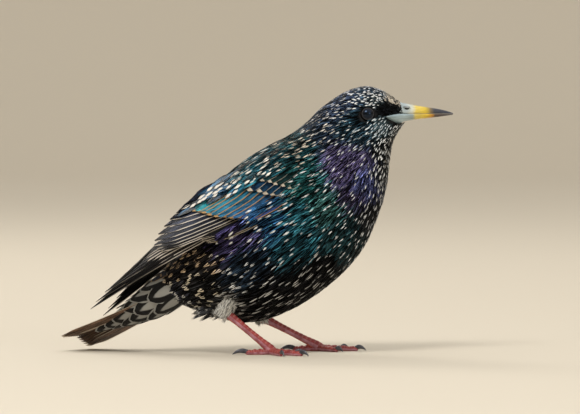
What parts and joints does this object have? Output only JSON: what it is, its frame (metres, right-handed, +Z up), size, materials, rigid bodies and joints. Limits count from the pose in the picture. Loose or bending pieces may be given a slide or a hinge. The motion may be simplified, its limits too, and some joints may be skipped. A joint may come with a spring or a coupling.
{
  "type": "starling",
  "caption": "Life-size standing starling in winter plumage, a still museum model, with its head level, wings folded and tail low.",
  "frame": {"origin": "on the floor under the middle of the whole bird's box, bill tip to tail tip", "axes": "+X forwards, the way the bill points; +Z up; -Y is the bird's right side, which the picture shows"},
  "size_m": [0.1876, 0.065, 0.1281],
  "materials": {
    "head_plumage": "glossy dark blue-green feathers with dense pale streaked tips",
    "body_plumage": "glossy black feathers with green and violet sheen and pale tips",
    "wing_feathers": "silky dark brown vanes with buff edges and blue-green coverts",
    "tail_feathers": "silky dark brown vanes with thin pale edges",
    "leg_plumage": "short soft grey and white feathers",
    "eye": "wet gloss, black-brown",
    "bill": "satin horn, blue-grey at the base, yellow in the middle, dark at the tip",
    "leg_scutes": "satin scaled skin, pink-red",
    "claw": "dark slate horn"
  },
  "bodies": {
    "root": {"head": "head_plumage", "neck": "body_plumage", "torso": "body_plumage", "wing_right": "wing_feathers", "wing_left": "wing_feathers", "tail": "tail_feathers", "thigh_right": "leg_plumage", "thigh_left": "leg_plumage", "eye_right": "eye", "eye_left": "eye", "bill_upper": "bill", "bill_lower": "bill", "shank_right": "leg_scutes", "shank_left": "leg_scutes", "toe_hind_right": "leg_scutes", "toe_inner_right": "leg_scutes", "toe_middle_right": "leg_scutes", "toe_outer_right": "leg_scutes", "toe_hind_left": "leg_scutes", "toe_inner_left": "leg_scutes", "toe_middle_left": "leg_scutes", "toe_outer_left": "leg_scutes", "claw_hind_right": "claw", "claw_inner_right": "claw", "claw_middle_right": "claw", "claw_outer_right": "claw", "claw_hind_left": "claw", "claw_inner_left": "claw", "claw_middle_left": "claw", "claw_outer_left": "claw"}
  },
  "joints": []
}
